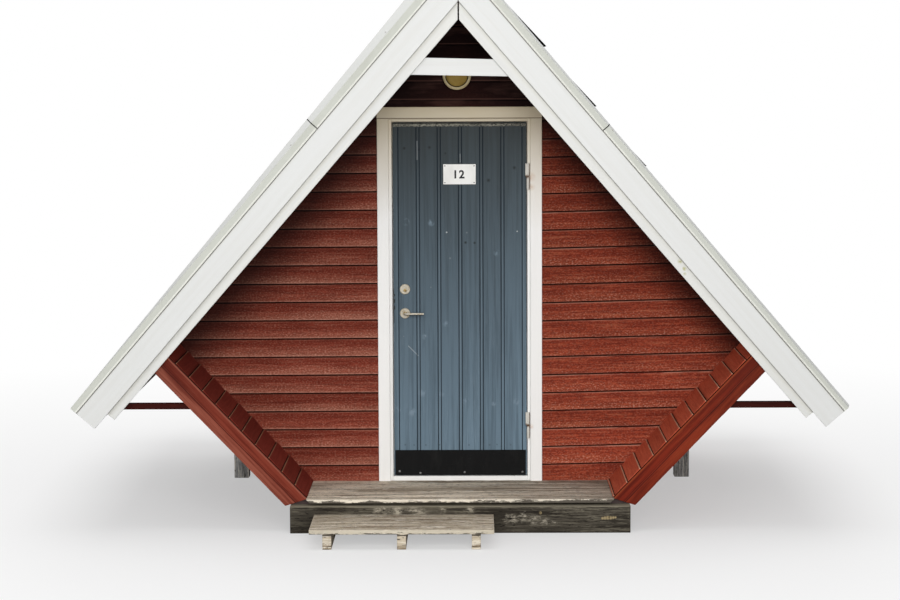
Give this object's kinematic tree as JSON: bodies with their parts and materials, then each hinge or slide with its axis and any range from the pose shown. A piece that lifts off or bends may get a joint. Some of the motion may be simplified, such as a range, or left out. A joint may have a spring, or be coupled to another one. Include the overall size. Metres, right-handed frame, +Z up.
{
  "type": "camping cottage",
  "caption": "Small timber camping cottage with a steep roof down to low eaves, walls that lean outwards, and a sheltered porch with a plank door.",
  "frame": {"origin": "on the ground, under the middle of the outer box, the front step included", "axes": "+Z up, the door and porch face -Y, +X to the right as one faces the door"},
  "size_m": [4.0164, 3.7036, 3.066],
  "materials": {
    "red_wall": "flat red paint on sawn boards, weathered",
    "red_trim": "flat red paint on planed boards",
    "white_trim": "white gloss paint on boards, slightly grimy",
    "door_paint": "blue-grey paint on tongued boards",
    "weathered_wood": "bare silver-grey weathered planks",
    "dark_timber": "dark weathered ground timber",
    "plain_wood": "unpainted sawn timber",
    "roof_steel": "black coated steel tile sheet",
    "flashing_steel": "white coated sheet metal, matt",
    "kick_steel": "black painted plate",
    "plate_white": "white plate",
    "fittings": "satin steel, slightly tarnished",
    "hinge_steel": "painted steel with rust at the knuckles",
    "lamp_plastic": "cream plastic",
    "lamp_glass": "olive-yellow translucent diffuser",
    "post_wood": "pale grey post"
  },
  "bodies": {
    "root": {"front_beam": "dark_timber", "rear_beam": "dark_timber", "floor_bearers": "plain_wood", "side_posts": "post_wood", "porch_deck": "weathered_wood", "rear_ledge": "weathered_wood", "front_step": "weathered_wood", "floor": "plain_wood", "lower_wall_left": "red_wall", "lower_wall_right": "red_wall", "fascia_front_left": "red_trim", "fascia_front_right": "red_trim", "fascia_rear": "red_trim", "front_wall_left": "red_wall", "front_wall_right": "red_wall", "front_wall_top": "red_wall", "rear_wall": "red_wall", "jamb_left": "white_trim", "jamb_right": "white_trim", "frame_head": "white_trim", "frame_sill": "white_trim", "casing_left": "white_trim", "casing_right": "white_trim", "casing_head": "white_trim", "hinge_frame": "hinge_steel", "lamp_base": "lamp_plastic", "lamp_lens": "lamp_glass", "roof_left": "red_wall", "roof_right": "red_wall", "eave_boards": "red_trim", "roof_sheet_left": "roof_steel", "roof_sheet_right": "roof_steel", "ridge_cap": "roof_steel", "barge_board_front_left": "white_trim", "barge_board_front_right": "white_trim", "barge_boards_rear": "white_trim", "barge_lower_board_front_left": "white_trim", "barge_lower_board_front_right": "white_trim", "barge_lower_boards_rear": "white_trim", "flashing_front_left": "flashing_steel", "flashing_front_right": "flashing_steel", "flashing_rear_left": "flashing_steel", "flashing_rear_right": "flashing_steel", "collar_boards": "white_trim", "eave_struts": "red_trim"},
    "door": {"door_leaf": "door_paint", "kick_plate": "kick_steel", "number_plate": "plate_white", "hinge_door": "hinge_steel", "lock_roses": "fittings", "handle_roses": "fittings"},
    "lever": {"lever_handle": "fittings"}
  },
  "joints": [
    {"name": "door_swing", "type": "hinge", "parent": "root", "child": "door", "pos_m": [0.366, -0.8295, 1.1], "axis": [0, 0, 1], "range_deg": [0, 95]},
    {"name": "lever_turn", "type": "hinge", "parent": "door", "child": "lever", "pos_m": [-0.295, -0.7905, 1.082], "axis": [0, 1, 0], "range_deg": [0, 40], "stiffness_Nm_per_rad": 1.2, "springref_deg": -22.92}
  ]
}
